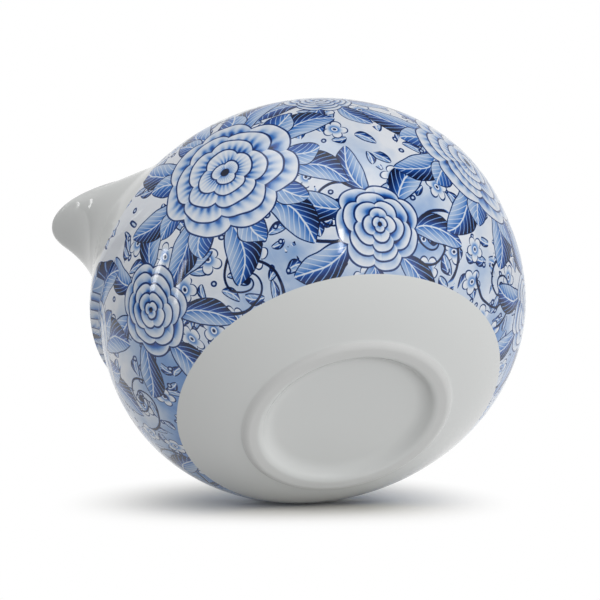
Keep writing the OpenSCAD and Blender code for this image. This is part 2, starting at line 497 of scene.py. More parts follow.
    def build(self) -> Thing:
        """Builds the body's mesh, with the length along its wall as wall_mm, for the print.

        Returns:
            The body, with the strainer's window cut in it.
        """
        phi = self.angles()
        turn = np.where(phi > math.pi, phi - 2 * math.pi, phi)
        flat = np.ones_like(phi)  # spreads a half section over all angles
        under, inside = (
            (half[:, :1] * flat, half[:, 1:] * flat) for half in (self.under(), self.inside())
        )
        z = self.outer_rows()[:, None] * flat
        blend = np.interp(z, self.root_levels, self.root_blends)
        near = np.abs(turn) < math.radians(self.beak_sector)
        beak = np.where(near, self.beak.outside(turn, z), 0)
        wall = smooth_max(self.body_radius(z), beak, blend)
        wall = np.where(near & (z > self.beak.root_z - self.root_drop), wall, self.body_radius(z))
        outside = (wall, z, self.profile.arc(z))
        stop = self.junction(turn)
        down = np.linspace(0, 1, 22)[1:, None] ** 0.8
        z = self.beak.top + (stop - self.beak.top) * down
        channel = (np.maximum(self.beak.channel(turn, z), self.body_radius(z)), z)
        z = stop + (self.beak.top - stop) * np.linspace(0, 1, 20)[1:, None]
        shoulder = (self.body_radius(z), z)
        bare = [(r, z, 0 * z + OFF_PRINT) for r, z in (under, channel, shoulder, inside)]
        parts = (bare[0], outside, *bare[1:])
        radii, heights, marks = (np.concatenate(group) for group in zip(*parts))
        body = turned_mesh("teapot_body", radii, heights, phi, wall_mm=marks)
        cut(body, self.window())
        smooth(body)
        return body

    def window(self) -> Thing:
        """A closed block that cuts the strainer's window through the shoulder."""
        low, high = (self.rim_h - drop for drop in self.window_drop)
        z = np.linspace(low, high, 9)
        outer = np.stack([self.profile.radius(z) + self.window_past, z], -1)
        section = [(self.window_in, low), *outer, (self.window_in, high)]
        angles = np.radians(np.linspace(-self.window_half, self.window_half, 43))
        bm = bmesh.new()
        rings = []
        for a in angles:
            points = [Vector((r * math.cos(a), r * math.sin(a), h)) * MM for r, h in section]
            rings.append([bm.verts.new(point) for point in points])
        band(bm, rings)
        bm.faces.new(rings[0][::-1])
        bm.faces.new(rings[-1])
        bmesh.ops.recalc_face_normals(bm, faces=bm.faces)
        return put_down("window_tool", bm)


# ---------------------------------------------------------------- print


@dataclass(frozen=True)
class Field:
    """A number that changes over the surface. Sums of fields become Math nodes."""

    tree: Tree
    socket: Socket

    def calc(self, operation: str, *others: Field | float) -> Field:
        """The result of a Math node on this field and others."""
        inputs: dict[int | str, object] = {0: self.socket}
        for k, other in enumerate(others):
            inputs[k + 1] = other.socket if isinstance(other, Field) else float(other)
        node = add_node(self.tree, "ShaderNodeMath", inputs, operation=operation)
        return Field(self.tree, node.outputs[0])

    __add__ = partialmethod(calc, "ADD")
    __sub__ = partialmethod(calc, "SUBTRACT")
    __mul__ = partialmethod(calc, "MULTIPLY")
    __truediv__ = partialmethod(calc, "DIVIDE")
    __pow__ = partialmethod(calc, "POWER")
    __neg__ = partialmethod(calc, "MULTIPLY", -1)
    __abs__ = partialmethod(calc, "ABSOLUTE")
    least = partialmethod(calc, "MINIMUM")
    most = partialmethod(calc, "MAXIMUM")

    def flip(self) -> Field:
        """One less this field."""
        return -self + 1

    def wrap(self, low: float, high: float) -> Field:
        """The field, repeated between low and high."""
        return self.calc("WRAP", high, low)

    def step(self, low: float, high: float) -> Field:
        """Smooth step from 0 at low to 1 at high, where low may be the larger one."""
        inputs = {"Value": self.socket, "From Min": low, "From Max": high}
        node = add_node(self.tree, "ShaderNodeMapRange", inputs, interpolation_type="SMOOTHSTEP")
        return Field(self.tree, node.outputs[0])

    def under(self, edge: float, soft: float) -> Field:
        """1 where the field is less than edge, 0 where it is more, with a soft edge."""
        return self.step(edge + soft, edge - soft)

    def line(self, half: float, soft: float) -> Field:
        """1 within half of where the field is nothing, with a soft edge."""
        return abs(self).under(half, soft)

    def over(self, ink: Field | float, mask: Field) -> Field:
        """Paints ink over this field where mask is 1."""
        change = ink - self if isinstance(ink, Field) else -self + ink
        return mask.calc("MULTIPLY_ADD", change, self)


def object_coords(tree: Tree) -> Socket:
    """Place on the surface in the part's own frame, in metres."""
    return add_node(tree, "ShaderNodeTexCoord").outputs["Object"]


def split_xyz(tree: Tree, vector: Socket) -> tuple[Field, ...]:
    """The three parts of a vector."""
    parts = add_node(tree, "ShaderNodeSeparateXYZ", {0: vector}).outputs
    return tuple(Field(tree, part) for part in parts)


def vector_math(tree: Tree, operation: str, one: Socket, two: Socket | Vector) -> Node:
    """Adds a Vector Math node; what it gives is in its outputs Vector or Value."""
    other = two if isinstance(two, Socket) else tuple(two)
    return add_node(tree, "ShaderNodeVectorMath", {0: one, 1: other}, operation=operation)


def surface_mm(tree: Tree, coords: Socket) -> tuple[Field, Field, Field, Field]:
    """x, y and z on the surface in millimetres, and the distance from the pot's axis."""
    x, y, z = (part / MM for part in split_xyz(tree, coords))
    return x, y, z, ((x * x) + (y * y)).calc("SQRT")


def noise(tree: Tree, coords: Socket, per_metre: float, detail: float) -> tuple[Field, ...]:
    """Three soft random fields between 0 and 1, with per_metre clouds to a metre."""
    inputs = {"Vector": coords, "Scale": per_metre, "Detail": detail}
    cloud = add_node(tree, "ShaderNodeTexNoise", inputs)
    split = add_node(tree, "ShaderNodeSeparateColor", {0: cloud.outputs["Color"]})
    return tuple(Field(tree, out) for out in split.outputs[:3])


@dataclass(frozen=True)
class Spot:
    """Place in a repeated motif: millimetres along and across from its middle, and its number."""

    u: Field
    v: Field
    number: Field

    def polar(self, twist: float = 0.0) -> tuple[Field, Field]:
        """Distance from the middle and angle round it, turned by twist more for each motif."""
        rho = ((self.u * self.u) + (self.v * self.v)).calc("SQRT")
        theta = self.v.calc("ARCTAN2", self.u)
        return rho, theta + self.number * twist if twist else theta


@dataclass(frozen=True)
class Round:
    """Row of a motif round the pot.

    Attributes:
        turn: azimuth of the first one, in degrees from the beak.
        level: length along the wall from the widest line to its middle, in millimetres.
        sway: how far the motifs move up and down in turn, by beat radians each.
    """

    count: int
    turn: float
    level: float
    sway: float = 0.0
    beat: float = 2.4

    def spot(self, az: Field, r: Field, s: Field) -> Spot:
        """Place in the nearest motif, from azimuth, radius and length along the wall."""
        period = 2 * math.pi / self.count
        k = ((az - math.radians(self.turn)) / period) + 0.5
        number = k.calc("FLOOR")
        u = ((k - number) - 0.5) * period * r
        level = s - self.level
        if self.sway:
            level = level - (number * self.beat).calc("SINE") * self.sway
        return Spot(u, level, number)


@dataclass(frozen=True)
class Rose:
    """Rose of rings of overlapping petals, dark at their roots. Millimetres and shares of size.

    Attributes:
        rings: radius, number of petals and depth of the notches, for each ring.
        petal_w: reach of the shade at a petal's root, and that in the last ring.
        stagger: how far each ring is turned on from the last one, and the first of them.
    """

    size: float
    rings: tuple[tuple[float, int, float], ...] = (
        (1.0, 7, 0.13), (0.8, 6, 0.15), (0.6, 5, 0.17), (0.4, 4, 0.2), (0.2, 3, 0.25)
    )
    petal_w: tuple[float, float] = (0.3, 0.22)
    stagger: tuple[float, float] = (0.37, 0.2)
    outline: tuple[float, float] = (0.2, 0.1)
    eye: float = 0.06
    twist: float = 1.7

    def paint(self, ink: Field, spot: Spot, strokes: Field) -> Field:
        """Paints the rose over ink at spot, with strokes as fine streaks in its tone."""
        rho, theta = spot.polar(self.twist)
        size, last = self.size, len(self.rings) - 1
        for k, (share, count, depth) in enumerate(self.rings):
            phase = (theta * count / (2 * math.pi)) + (self.stagger[0] * k + self.stagger[1])
            saw = phase.calc("FRACT")
            bow = (((saw - 0.5) * 2.0) ** 2.0) ** 1.4
            gap = rho - ((bow * (-depth * size * share)) + (size * share))
            root = (gap * (-1 / (size * self.petal_w[k == last]))).step(0.0, 1.0)
            side = saw.step(0.34, 0.0) * 0.55
            tone = (root * 0.62) + side * (root * 0.6 + 0.3)
            tone = tone + (strokes * (root * 0.5 + 0.12)) + 0.03
            ink = ink.over(tone, gap.under(0.0, 0.09))
            ink = ink.over(0.9, gap.line(*self.outline))
        return ink.over(1.0, rho.under(size * self.eye, 0.15))


@dataclass(frozen=True)
class Leaf:
    """Leaf, dark along one side, with a pale midrib and veins. Millimetres and shares of ink.

    width is half its width, and bend how far its middle is bent aside.
    """

    length: float
    width: float
    bend: float
    dark: float
    pale: float = 0.3
    vein_gap: float = 1.9
    vein: tuple[float, float] = (0.16, 0.12)
    outline: tuple[float, float] = (0.14, 0.09)

    def paint(self, ink: Field, x: Field, y: Field) -> Field:
        """Paints the leaf over ink, where x runs from its stalk to its tip and y across."""
        q = (x / self.length).most(0.0).least(1.0)
        hump = (q * q.flip()) * 4.0
        across = y - hump * self.bend
        gap = abs(across) - (hump ** 0.8) * self.width
        side = (across / self.width).step(-0.9, 0.9)
        veins = (x - abs(across) * 1.5).wrap(0.0, self.vein_gap) - self.vein_gap / 2
        tone = (side * (self.dark - self.pale)) + self.pale
        tone = tone.over(tone * 0.45, veins.line(*self.vein))
        tone = tone.over(0.06, across.line(*self.vein))
        ink = ink.over(tone, gap.under(-0.02, 0.08))
        return ink.over(0.97, gap.line(*self.outline) * hump.step(0.0, 0.08))


@dataclass(frozen=True)
class Wreath:
    """Leaves that stand out all round a middle, start millimetres from it.

    They are turned by turn, and each wreath by twist from the one beside it, in radians.
    """

    count: int
    start: float
    leaf: Leaf
    turn: float = 0.0
    twist: float = 0.9

    def paint(self, ink: Field, spot: Spot) -> Field:
        """Paints the leaves over ink, round the middle of spot."""
        rho, theta = spot.polar(self.twist)
        half = math.pi / self.count
        alpha = (theta + self.turn).wrap(-half, half)
        x, y = rho * alpha.calc("COSINE"), rho * alpha.calc("SINE")
        return self.leaf.paint(ink, x - self.start, y)


@dataclass(frozen=True)
class Blossom:
    """Small flat flower with rounded petals, pale at their tips, and a dark eye. Millimetres."""

    size: float
    petals: int
    pale: float
    twist: float = 0.8

    def paint(self, ink: Field, spot: Spot) -> Field:
        """Paints the flower over ink, at the middle of spot."""
        rho, theta = spot.polar(self.twist)
        lobes = abs((theta * (self.petals / 2)).calc("COSINE")) ** 0.7
        gap = rho - ((lobes * (0.45 * self.size)) + 0.55 * self.size)
        root = (rho / self.size).step(0.75, 0.15)
        ink = ink.over((root * 0.6) + self.pale, gap.under(0.0, 0.08))
        ink = ink.over(0.95, gap.line(0.16, 0.1))
        ink = ink.over(0.02, rho.under(0.24 * self.size, 0.1))
        return ink.over(0.95, rho.under(0.13 * self.size, 0.1))


@dataclass(frozen=True)
class Curl:
    """Tendrils that roll up towards a middle with a bead in it. Millimetres.

    roll is how tightly they do, and swell their half width next to the distance from the middle.
    """

    size: float = 9.0
    arms: int = 3
    tone: float = 0.96
    roll: float = 2.3
    swell: float = 0.028
    bead: float = 0.85

    def paint(self, ink: Field, spot: Spot) -> Field:
        """Paints the tendrils over ink, round the middle of spot."""
        rho, theta = spot.polar()
        swirl = (rho.most(0.3).calc("LOGARITHM", math.e) * self.roll) + theta
        half = math.pi / self.arms
        gap = abs(swirl.wrap(-half, half) * rho * 0.4) - (rho * self.swell)
        mask = gap.under(0.14, 0.1) * rho.under(self.size, 0.4) * rho.step(0.5, 0.8)
        return ink.over(self.tone, mask).over(self.tone, rho.under(self.bead, 0.12))


class Filler(Enum):
    """What stands in the cells of a scatter."""

    LEAF = "leaf"
    FLOWER = "flower"
    BERRY = "berry"


@dataclass(frozen=True)
class Scatter:
    """Small motifs in the cells of a random net round the pot.

    Attributes:
        cell: size of a cell in millimetres, true at the radius true_r.
        share: share of the cells that are filled.
        away: how many cells off the motif of an empty cell is put, out of its sight.
        spin: range in radians over which the leaves are turned at random.
    """

    cell: float
    seed: float
    kind: Filler
    share: float
    true_r: float = 48.0
    away: float = 9.0
    spin: float = 40.0

    def paint(self, ink: Field, az: Field, s: Field) -> Field:
        """Paints the motifs over ink, from azimuth and length along the wall."""
        tree, cell = ink.tree, self.cell
        c, n = az.calc("COSINE"), az.calc("SINE")
        k = self.true_r / cell
        inputs = {0: (c * k).socket, 1: (n * k).socket, 2: ((s / cell) + self.seed).socket}
        where = add_node(tree, "ShaderNodeCombineXYZ", inputs).outputs[0]
        inputs = {"Vector": where, "Scale": 1.0, "Randomness": 0.62}
        net = add_node(tree, "ShaderNodeTexVoronoi", inputs)
        gap = vector_math(tree, "SUBTRACT", where, net.outputs["Position"])
        dx, dy, dz = split_xyz(tree, gap.outputs["Vector"])
        split = add_node(tree, "ShaderNodeSeparateColor", {0: net.outputs["Color"]})
        chance = Field(tree, split.outputs[0])
        up = dz + chance.step(self.share, self.share + 0.01) * self.away
        spot = Spot(((dy * c) - (dx * n)) * cell, up * cell, chance * 9.0)
        if self.kind is Filler.FLOWER:
            return Blossom(cell * 0.28, 5, 0.02).paint(ink, spot)
        rho, theta = spot.polar()
        if self.kind is Filler.BERRY:
            ink = ink.over(0.9, rho.under(cell * 0.16, 0.08))
            return ink.over(0.2, rho.under(cell * 0.07, 0.1))
        leaf = Leaf(cell * 0.64, cell * 0.16, cell * 0.08, 0.9)
        angle = theta + chance * self.spin
        x, y = rho * angle.calc("COSINE"), rho * angle.calc("SINE")
        return leaf.paint(ink, x + leaf.length / 2, y)


@dataclass(frozen=True)
class Bouquet:
    """Row of roses with leaves behind them."""

    row: Round
    rose: Rose
    wreaths: tuple[Wreath, ...]


@dataclass(frozen=True)
class FloralPrint:
    """Dense blue underglaze print of roses, leaves, tendrils and small flowers on washes of blue.

    Attributes:
        inks: colours from bare glaze to the densest ink, at the shares of ink in stops.
        edge_r: radius of the print's sharp lower edge; top_r is that of its end on the shoulder.
        lip_z: height at which it ends on the beak; foot_z is that at the foot.
        beak_bare: half angle in degrees, level over the widest line and height in millimetres of
            the oval that stays white round the beak's root.
        bend_scale: clouds to a metre in the noise that bends the drawing.
    """

    inks: tuple[str, ...] = (
        "#F0F4FB", "#CEDDF2", "#8DB1E1", "#3577C8", "#0B4CA2", "#012B6C", "#001034"
    )
    stops: tuple[float, ...] = (0.0, 0.21, 0.41, 0.58, 0.73, 0.86, 0.97)
    edge_r: float = 37.5
    top_r: float = 36.0
    lip_z: float = 67.4
    foot_z: float = 4.0
    beak_bare: tuple[float, float, float] = (38.0, 22.0, 16.0)
    scatters: tuple[Scatter, ...] = (
        Scatter(8.0, 3.1, Filler.LEAF, 0.7),
        Scatter(6.0, 8.4, Filler.LEAF, 0.4),
        Scatter(4.6, 5.7, Filler.BERRY, 0.45),
        Scatter(11.0, 1.3, Filler.FLOWER, 0.85),
    )
    tendrils: tuple[Round, ...] = (Round(12, 9.0, 27.0, 3.0), Round(12, -7.0, -24.0, 4.0))
    bouquets: tuple[Bouquet, ...] = (
        Bouquet(Round(5, -49.0, -20.0, 3.0), Rose(10.0), (
            Wreath(7, 8.0, Leaf(13.0, 3.4, 1.6, 1.0)),
        )),
        Bouquet(Round(5, -55.0, 22.0, 3.0), Rose(8.0), (
            Wreath(7, 6.0, Leaf(11.0, 2.8, -1.4, 0.9)),
        )),
        Bouquet(Round(5, -85.0, 2.0, 3.0), Rose(16.0), (
            Wreath(9, 13.0, Leaf(15.0, 4.0, 2.2, 1.0)),
            Wreath(9, 12.0, Leaf(9.0, 3.2, -1.2, 0.75), math.pi / 9),
        )),
    )
    bend_scale: float = 60.0
    wash_scale: float = 45.0
    grain_scale: float = 420.0

    def clouds(self, tree: Tree, coords: Socket) -> tuple[tuple[Field, ...], ...]:
        """The noises for the bend of the drawing, the washes and the grain."""
        bend = noise(tree, coords, self.bend_scale, 2.0)
        wash = noise(tree, coords, self.wash_scale, 4.0)
        return bend, wash, noise(tree, coords, self.grain_scale, 3.0)

    def paint(self, tree: Tree, profile: Profile) -> tuple[Field, Field]:
        """Paints the whole print.

        Args:
            tree: the material's nodes.
            profile: the belly, for the lengths along its wall.

        Returns:
            The share of ink, and the mask of the printed part.
        """
        coords = object_coords(tree)
        x, y, z, r = surface_mm(tree, coords)
        az = y.calc("ARCTAN2", x)
        wall = add_node(tree, "ShaderNodeAttribute", attribute_name="wall_mm")
        s = Field(tree, wall.outputs["Fac"])
        bend, wash, grain = self.clouds(tree, coords)
        az_w, s_w = az + (bend[0] - 0.5) * 5.0 / profile.belly_r, s + (bend[1] - 0.5) * 5.0
        ground = wash[0].step(0.42, 0.68) * 0.38
        ground = ground + (s * (-1 / 110.0) - 0.19) + (wash[1] - 0.5) * 0.3
        ink = ground.most(0.0).least(0.7)
        for scatter in self.scatters:
            ink = scatter.paint(ink, az_w, s_w)
        for row in self.tendrils:
            ink = Curl().paint(ink, row.spot(az_w, r, s_w))
        spots = [bouquet.row.spot(az_w, r, s_w) for bouquet in self.bouquets]
        for bouquet, spot in zip(self.bouquets, spots):
            for wreath in bouquet.wreaths:
                ink = wreath.paint(ink, spot)
        streaks = ((spots[-1].polar()[1] * 30.0) + (wash[2] * 30.0)).calc("SINE")
        strokes = (grain[0] - 0.5) * 0.8 + streaks * 0.35
        for bouquet, spot in zip(self.bouquets, spots):
            ink = bouquet.rose.paint(ink, spot, strokes)
        return ink + (grain[1] - 0.5) * 0.1, self.printed(az, z, s, profile)

    def printed(self, az: Field, z: Field, s: Field, profile: Profile) -> Field:
        """Mask of the printed part, from azimuth, height and length along the wall."""
        start = float(profile.arc(profile.lower_height(self.edge_r)))
        end = float(profile.arc(profile.height(self.top_r)))
        half, level, height = self.beak_bare
        turn = abs(az) / math.radians(half)
        rise = (-z + (profile.belly_h + level)).most(0.0) / height
        beak = (turn ** 2.2) + (rise * rise)
        mask = s.step(start - 0.08, start + 0.08) * s.step(end + 0.1, end - 0.1)
        mask = mask * z.step(self.lip_z, self.lip_z - 0.2) * z.step(self.foot_z, self.foot_z + 0.2)
        return mask * beak.step(0.99, 1.01)

    def colour(self, ink: Field) -> Socket:
        """Turns the share of ink into its colour."""
        ramp = add_node(ink.tree, "ShaderNodeValToRGB", {0: ink.socket})
        elements = ramp.color_ramp.elements
        while len(elements) < len(self.inks):
            elements.new(0.5)
        for element, stop, ink_hex in zip(elements, self.stops, self.inks):
            element.position, element.color = stop, linear(ink_hex)
        return ramp.outputs["Color"]


@dataclass(frozen=True)
class CoverPrint(FloralPrint):
    """The same blue on the lid and its knob: a garland between lines, and one flower on top.

    Attributes:
        lines: radius and half width of the painted lines; two of them bound the garland.
        knob_r: radius within which the flower of the knob is painted.
        knob_z: height of the line round the knob's neck.
    """

    lines: tuple[tuple[float, float], ...] = (
        (28.3, 0.45), (26.9, 0.14), (11.6, 0.14), (10.7, 0.3)
    )
    garland_r: float = 19.2
    roses: int = 6
    knob_r: float = 9.2
    knob_z: float = 80.4

    def paint(self, tree: Tree, profile: Profile) -> tuple[Field, Field]:
        """Paints the print of the lid and the knob, which don't follow the belly's profile.

        Args:
            tree: the material's nodes.
            profile: not used here.

        Returns:
            The share of ink, and the mask of the printed part.
        """
        coords = object_coords(tree)
        x, y, z, r = surface_mm(tree, coords)
        bend, wash, grain = self.clouds(tree, coords)
        az_w = y.calc("ARCTAN2", x) + (bend[0] - 0.5) * 0.12
        r_w = r + (bend[1] - 0.5) * 2.4
        ink = wash[0].step(0.42, 0.68) * 0.35
        ink = Scatter(5.2, 2.2, Filler.LEAF, 0.6).paint(ink, az_w, z * 0.0)
        turn = 20.0
        main = Round(self.roses, turn, self.garland_r).spot(az_w, r, r_w)
        between = Round(self.roses, turn + 180.0 / self.roses, self.garland_r).spot(az_w, r, r_w)
        ink = Wreath(5, 2.2, Leaf(6.0, 1.7, 0.8, 0.9)).paint(ink, between)
        ink = Blossom(3.0, 5, 0.05).paint(ink, between)
        ink = Wreath(7, 4.2, Leaf(5.2, 1.7, 0.8, 1.0)).paint(ink, main)
        ink = Rose(5.2).paint(ink, main, (grain[0] - 0.5) * 0.8)
        (outer, _), (inner, _) = self.lines[1:3]
        ink = ink * (r.step(outer, outer - 0.1) * r.step(inner, inner + 0.1))
        for radius, half in self.lines:
            ink = ink.over(0.85, (r - radius).line(half, 0.06))
        knob = Spot(x, y, r * 0.0)
        flower = Wreath(8, 1.2, Leaf(6.4, 1.9, 0.0, 0.9)).paint(ink * 0.0, knob)
        flower = Blossom(2.6, 8, 0.1).paint(flower, knob)
        flower = flower.over(0.85, (z - self.knob_z).line(0.3, 0.06))
        ink = ink.over(flower, r.under(self.knob_r, 0.1)) + (grain[1] - 0.5) * 0.1
        up = split_xyz(tree, add_node(tree, "ShaderNodeTexCoord").outputs["Normal"])[2]
        neck = (z - self.knob_z).line(0.4, 0.02) * r.under(self.knob_r, 0.1)
        return ink, up.step(-0.02, 0.02).most(neck)


# ---------------------------------------------------------------- finishes


@dataclass(frozen=True)
class GlazedPorcelain:
    """Hard-paste porcelain under a clear fired glaze: a cool white with a wet gloss.

    The foot ring, from its inner edge out to its crease with the belly, is wiped free of glaze
    and shows the matt paste, painted a little darker than the glaze: painted shade on the ring
    and the crease round it.

    Attributes:
        body_hex: the porcelain under the glaze, a cool, slightly grey white.
        roughness: that of the glaze, low, so that reflections stay sharp.
        ripple: strength of the glaze's unevenness, with ripple_scale waves to a metre.
        bare_r: inner and outer radius of the wiped ring, in millimetres.
        bare_h: height up to which it is wiped.
    """

    name: str = "clear_glazed_porcelain"
    body_hex: str = "#E9EBEA"
    roughness: float = 0.07
    ior: float = 1.5
    ripple: float = 0.03
    ripple_scale: float = 110.0
    # painted shade: a grey white a little darker than body_hex, for the ring and its crease
    bare_shade_hex: str = "#E4E5E4"
    bare_roughness: float = 0.45
    bare_r: tuple[float, float] = (20.9, 25.6)
    bare_h: float = 1.3

    def make(self, art: FloralPrint | None = None, profile: Profile | None = None) -> Material:
        """Builds the material.

        Args:
            art: the print under the glaze, if there is one.
            profile: the belly that carries it.

        Returns:
            The material.
        """
        material = bpy.data.materials.new(self.name)
        tree = empty_tree(material)
        colour: Socket | Colour = linear(self.body_hex)
        if art is not None and profile is not None:
            ink, mask = art.paint(tree, profile)
            # the blue lies on the white body and under the same gloss
            colour = self.mix(tree, mask, colour, art.colour(ink))
        coords = object_coords(tree)
        bare = self.bare(tree, coords)
        # matt paste on the wiped ring, painted a little darker: painted shade on the ring and its
        # crease
        colour = self.mix(tree, bare, colour, linear(self.bare_shade_hex))
        dull = bare * (self.bare_roughness - self.roughness) + self.roughness
        # slow waves in the glaze, so that the lights' reflections aren't ruled lines
        inputs = {"Vector": coords, "Scale": self.ripple_scale, "Detail": 1.0}
        waves = add_node(tree, "ShaderNodeTexNoise", inputs)
        inputs = {"Height": waves.outputs[0], "Distance": MM, "Strength": self.ripple}
        bump = add_node(tree, "ShaderNodeBump", inputs)
        inputs = {"Base Color": colour, "Roughness": dull.socket, "IOR": self.ior}
        inputs["Normal"] = bump.outputs[0]
        shader = add_node(tree, "ShaderNodeBsdfPrincipled", inputs)
        add_node(tree, "ShaderNodeOutputMaterial", {"Surface": shader.outputs["BSDF"]})
        return material

    @staticmethod
    def mix(tree: Tree, mask: Field, one: Socket | Colour, two: Socket | Colour) -> Socket:
        """Colour one, and two where mask is 1."""
        inputs = {"Factor": mask.socket, 6: one, 7: two}  # 6 and 7 are the node's two colours
        return add_node(tree, "ShaderNodeMix", inputs, data_type="RGBA").outputs[2]

    def bare(self, tree: Tree, coords: Socket) -> Field:
        """Mask of the wiped ring."""
        _, _, z, r = surface_mm(tree, coords)
        start, end = self.bare_r
        ring = r.step(start - 0.1, start) * r.step(end + 0.1, end)
        return ring * z.step(self.bare_h, self.bare_h - 0.5)


# ---------------------------------------------------------------- stage


@dataclass(frozen=True)
class View:
    """Directions of the camera in the pot's own frame: right, up, and back towards the camera."""

    right: Vector
    up: Vector
    back: Vector

    def toward(self, way: tuple[float, float, float]) -> Vector:
        """Direction given as right, up and towards the camera, of length 1."""
        return (self.right * way[0] + self.up * way[1] + self.back * way[2]).normalized()

    def stand(self, target: Vector, distance: float) -> Matrix:
        """Place of a camera that looks at target from distance, in metres."""
        turn = Matrix((self.right, self.up, self.back)).transposed().to_4x4()
        return Matrix.Translation(target + self.back * distance) @ turn


@dataclass(frozen=True)
class Softbox:
    """One rectangular studio light. Metres.

    Attributes:
        toward: direction from the pot, as right, up and towards the camera.
        level: how bright a white sheet at the pot would look that faces it, next to paper white.
    """

    name: str
    toward: tuple[float, float, float]
    distance: float
    width: float
    height: float
    level: float

    def place(self, target: Vector, view: View) -> Thing:
        """Builds the light for a pot at target. The camera doesn't see it."""
        way = view.toward(self.toward)
        data = bpy.data.lights.new(self.name, "AREA")
        data.shape, data.size, data.size_y = "RECTANGLE", self.width, self.height
        data.energy = self.level * math.pi**2 * self.distance**2
        overhead = abs(view.up.dot(way)) >= OVERHEAD
        side = view.right if overhead else view.up.cross(way).normalized()
        obj = link(self.name, data)
        turned = View(side, way.cross(side), way)
        obj.matrix_world = turned.stand(target, self.distance)
        obj.visible_camera = False
        return obj


@dataclass(frozen=True)
class Glow:
    """A bright patch of the tent's wall that fades out by the cosine to the power of focus.

    Its direction and level are given like a softbox's.
    """

    toward: tuple[float, float, float]
    level: float
    focus: float

    def strength(self, tree: Tree, way: Socket, view: View) -> Field:
        """Adds nodes to the world's tree for its brightness in the direction way."""
        facing = vector_math(tree, "DOT_PRODUCT", way, view.toward(self.toward))
        peak = self.level * (self.focus + 2) / 2
        return (Field(tree, facing.outputs["Value"]).most(0.0) ** self.focus) * peak


OVERHEAD = 0.95  # cosine of the angle to up within which a light counts as overhead

GLOWS = (
    Glow((0.00, 0.00, -1.00), 0.45, 2.0),
    Glow((-0.70, 0.60, 0.40), 0.25, 4.0),
    Glow((0.55, -0.10, 0.83), 0.24, 8.0),
    Glow((0.30, -0.90, 0.30), 0.11, 4.0),
    Glow((0.93, 0.00, 0.36), 0.30, 6.0),
)

SOFTBOXES = (
    Softbox("top_softbox", (0.10, 1.0, 0.30), 0.75, 0.70, 0.50, 0.28),
    Softbox("left_strip", (-0.97, 0.20, 0.05), 0.80, 0.05, 0.26, 0.045),
    Softbox("left_front_strip", (-0.905, 0.00, 0.38), 0.80, 0.035, 0.44, 0.05),
    Softbox("near_strip", (0.30, 0.27, 0.90), 0.70, 0.026, 0.22, 0.045),
)


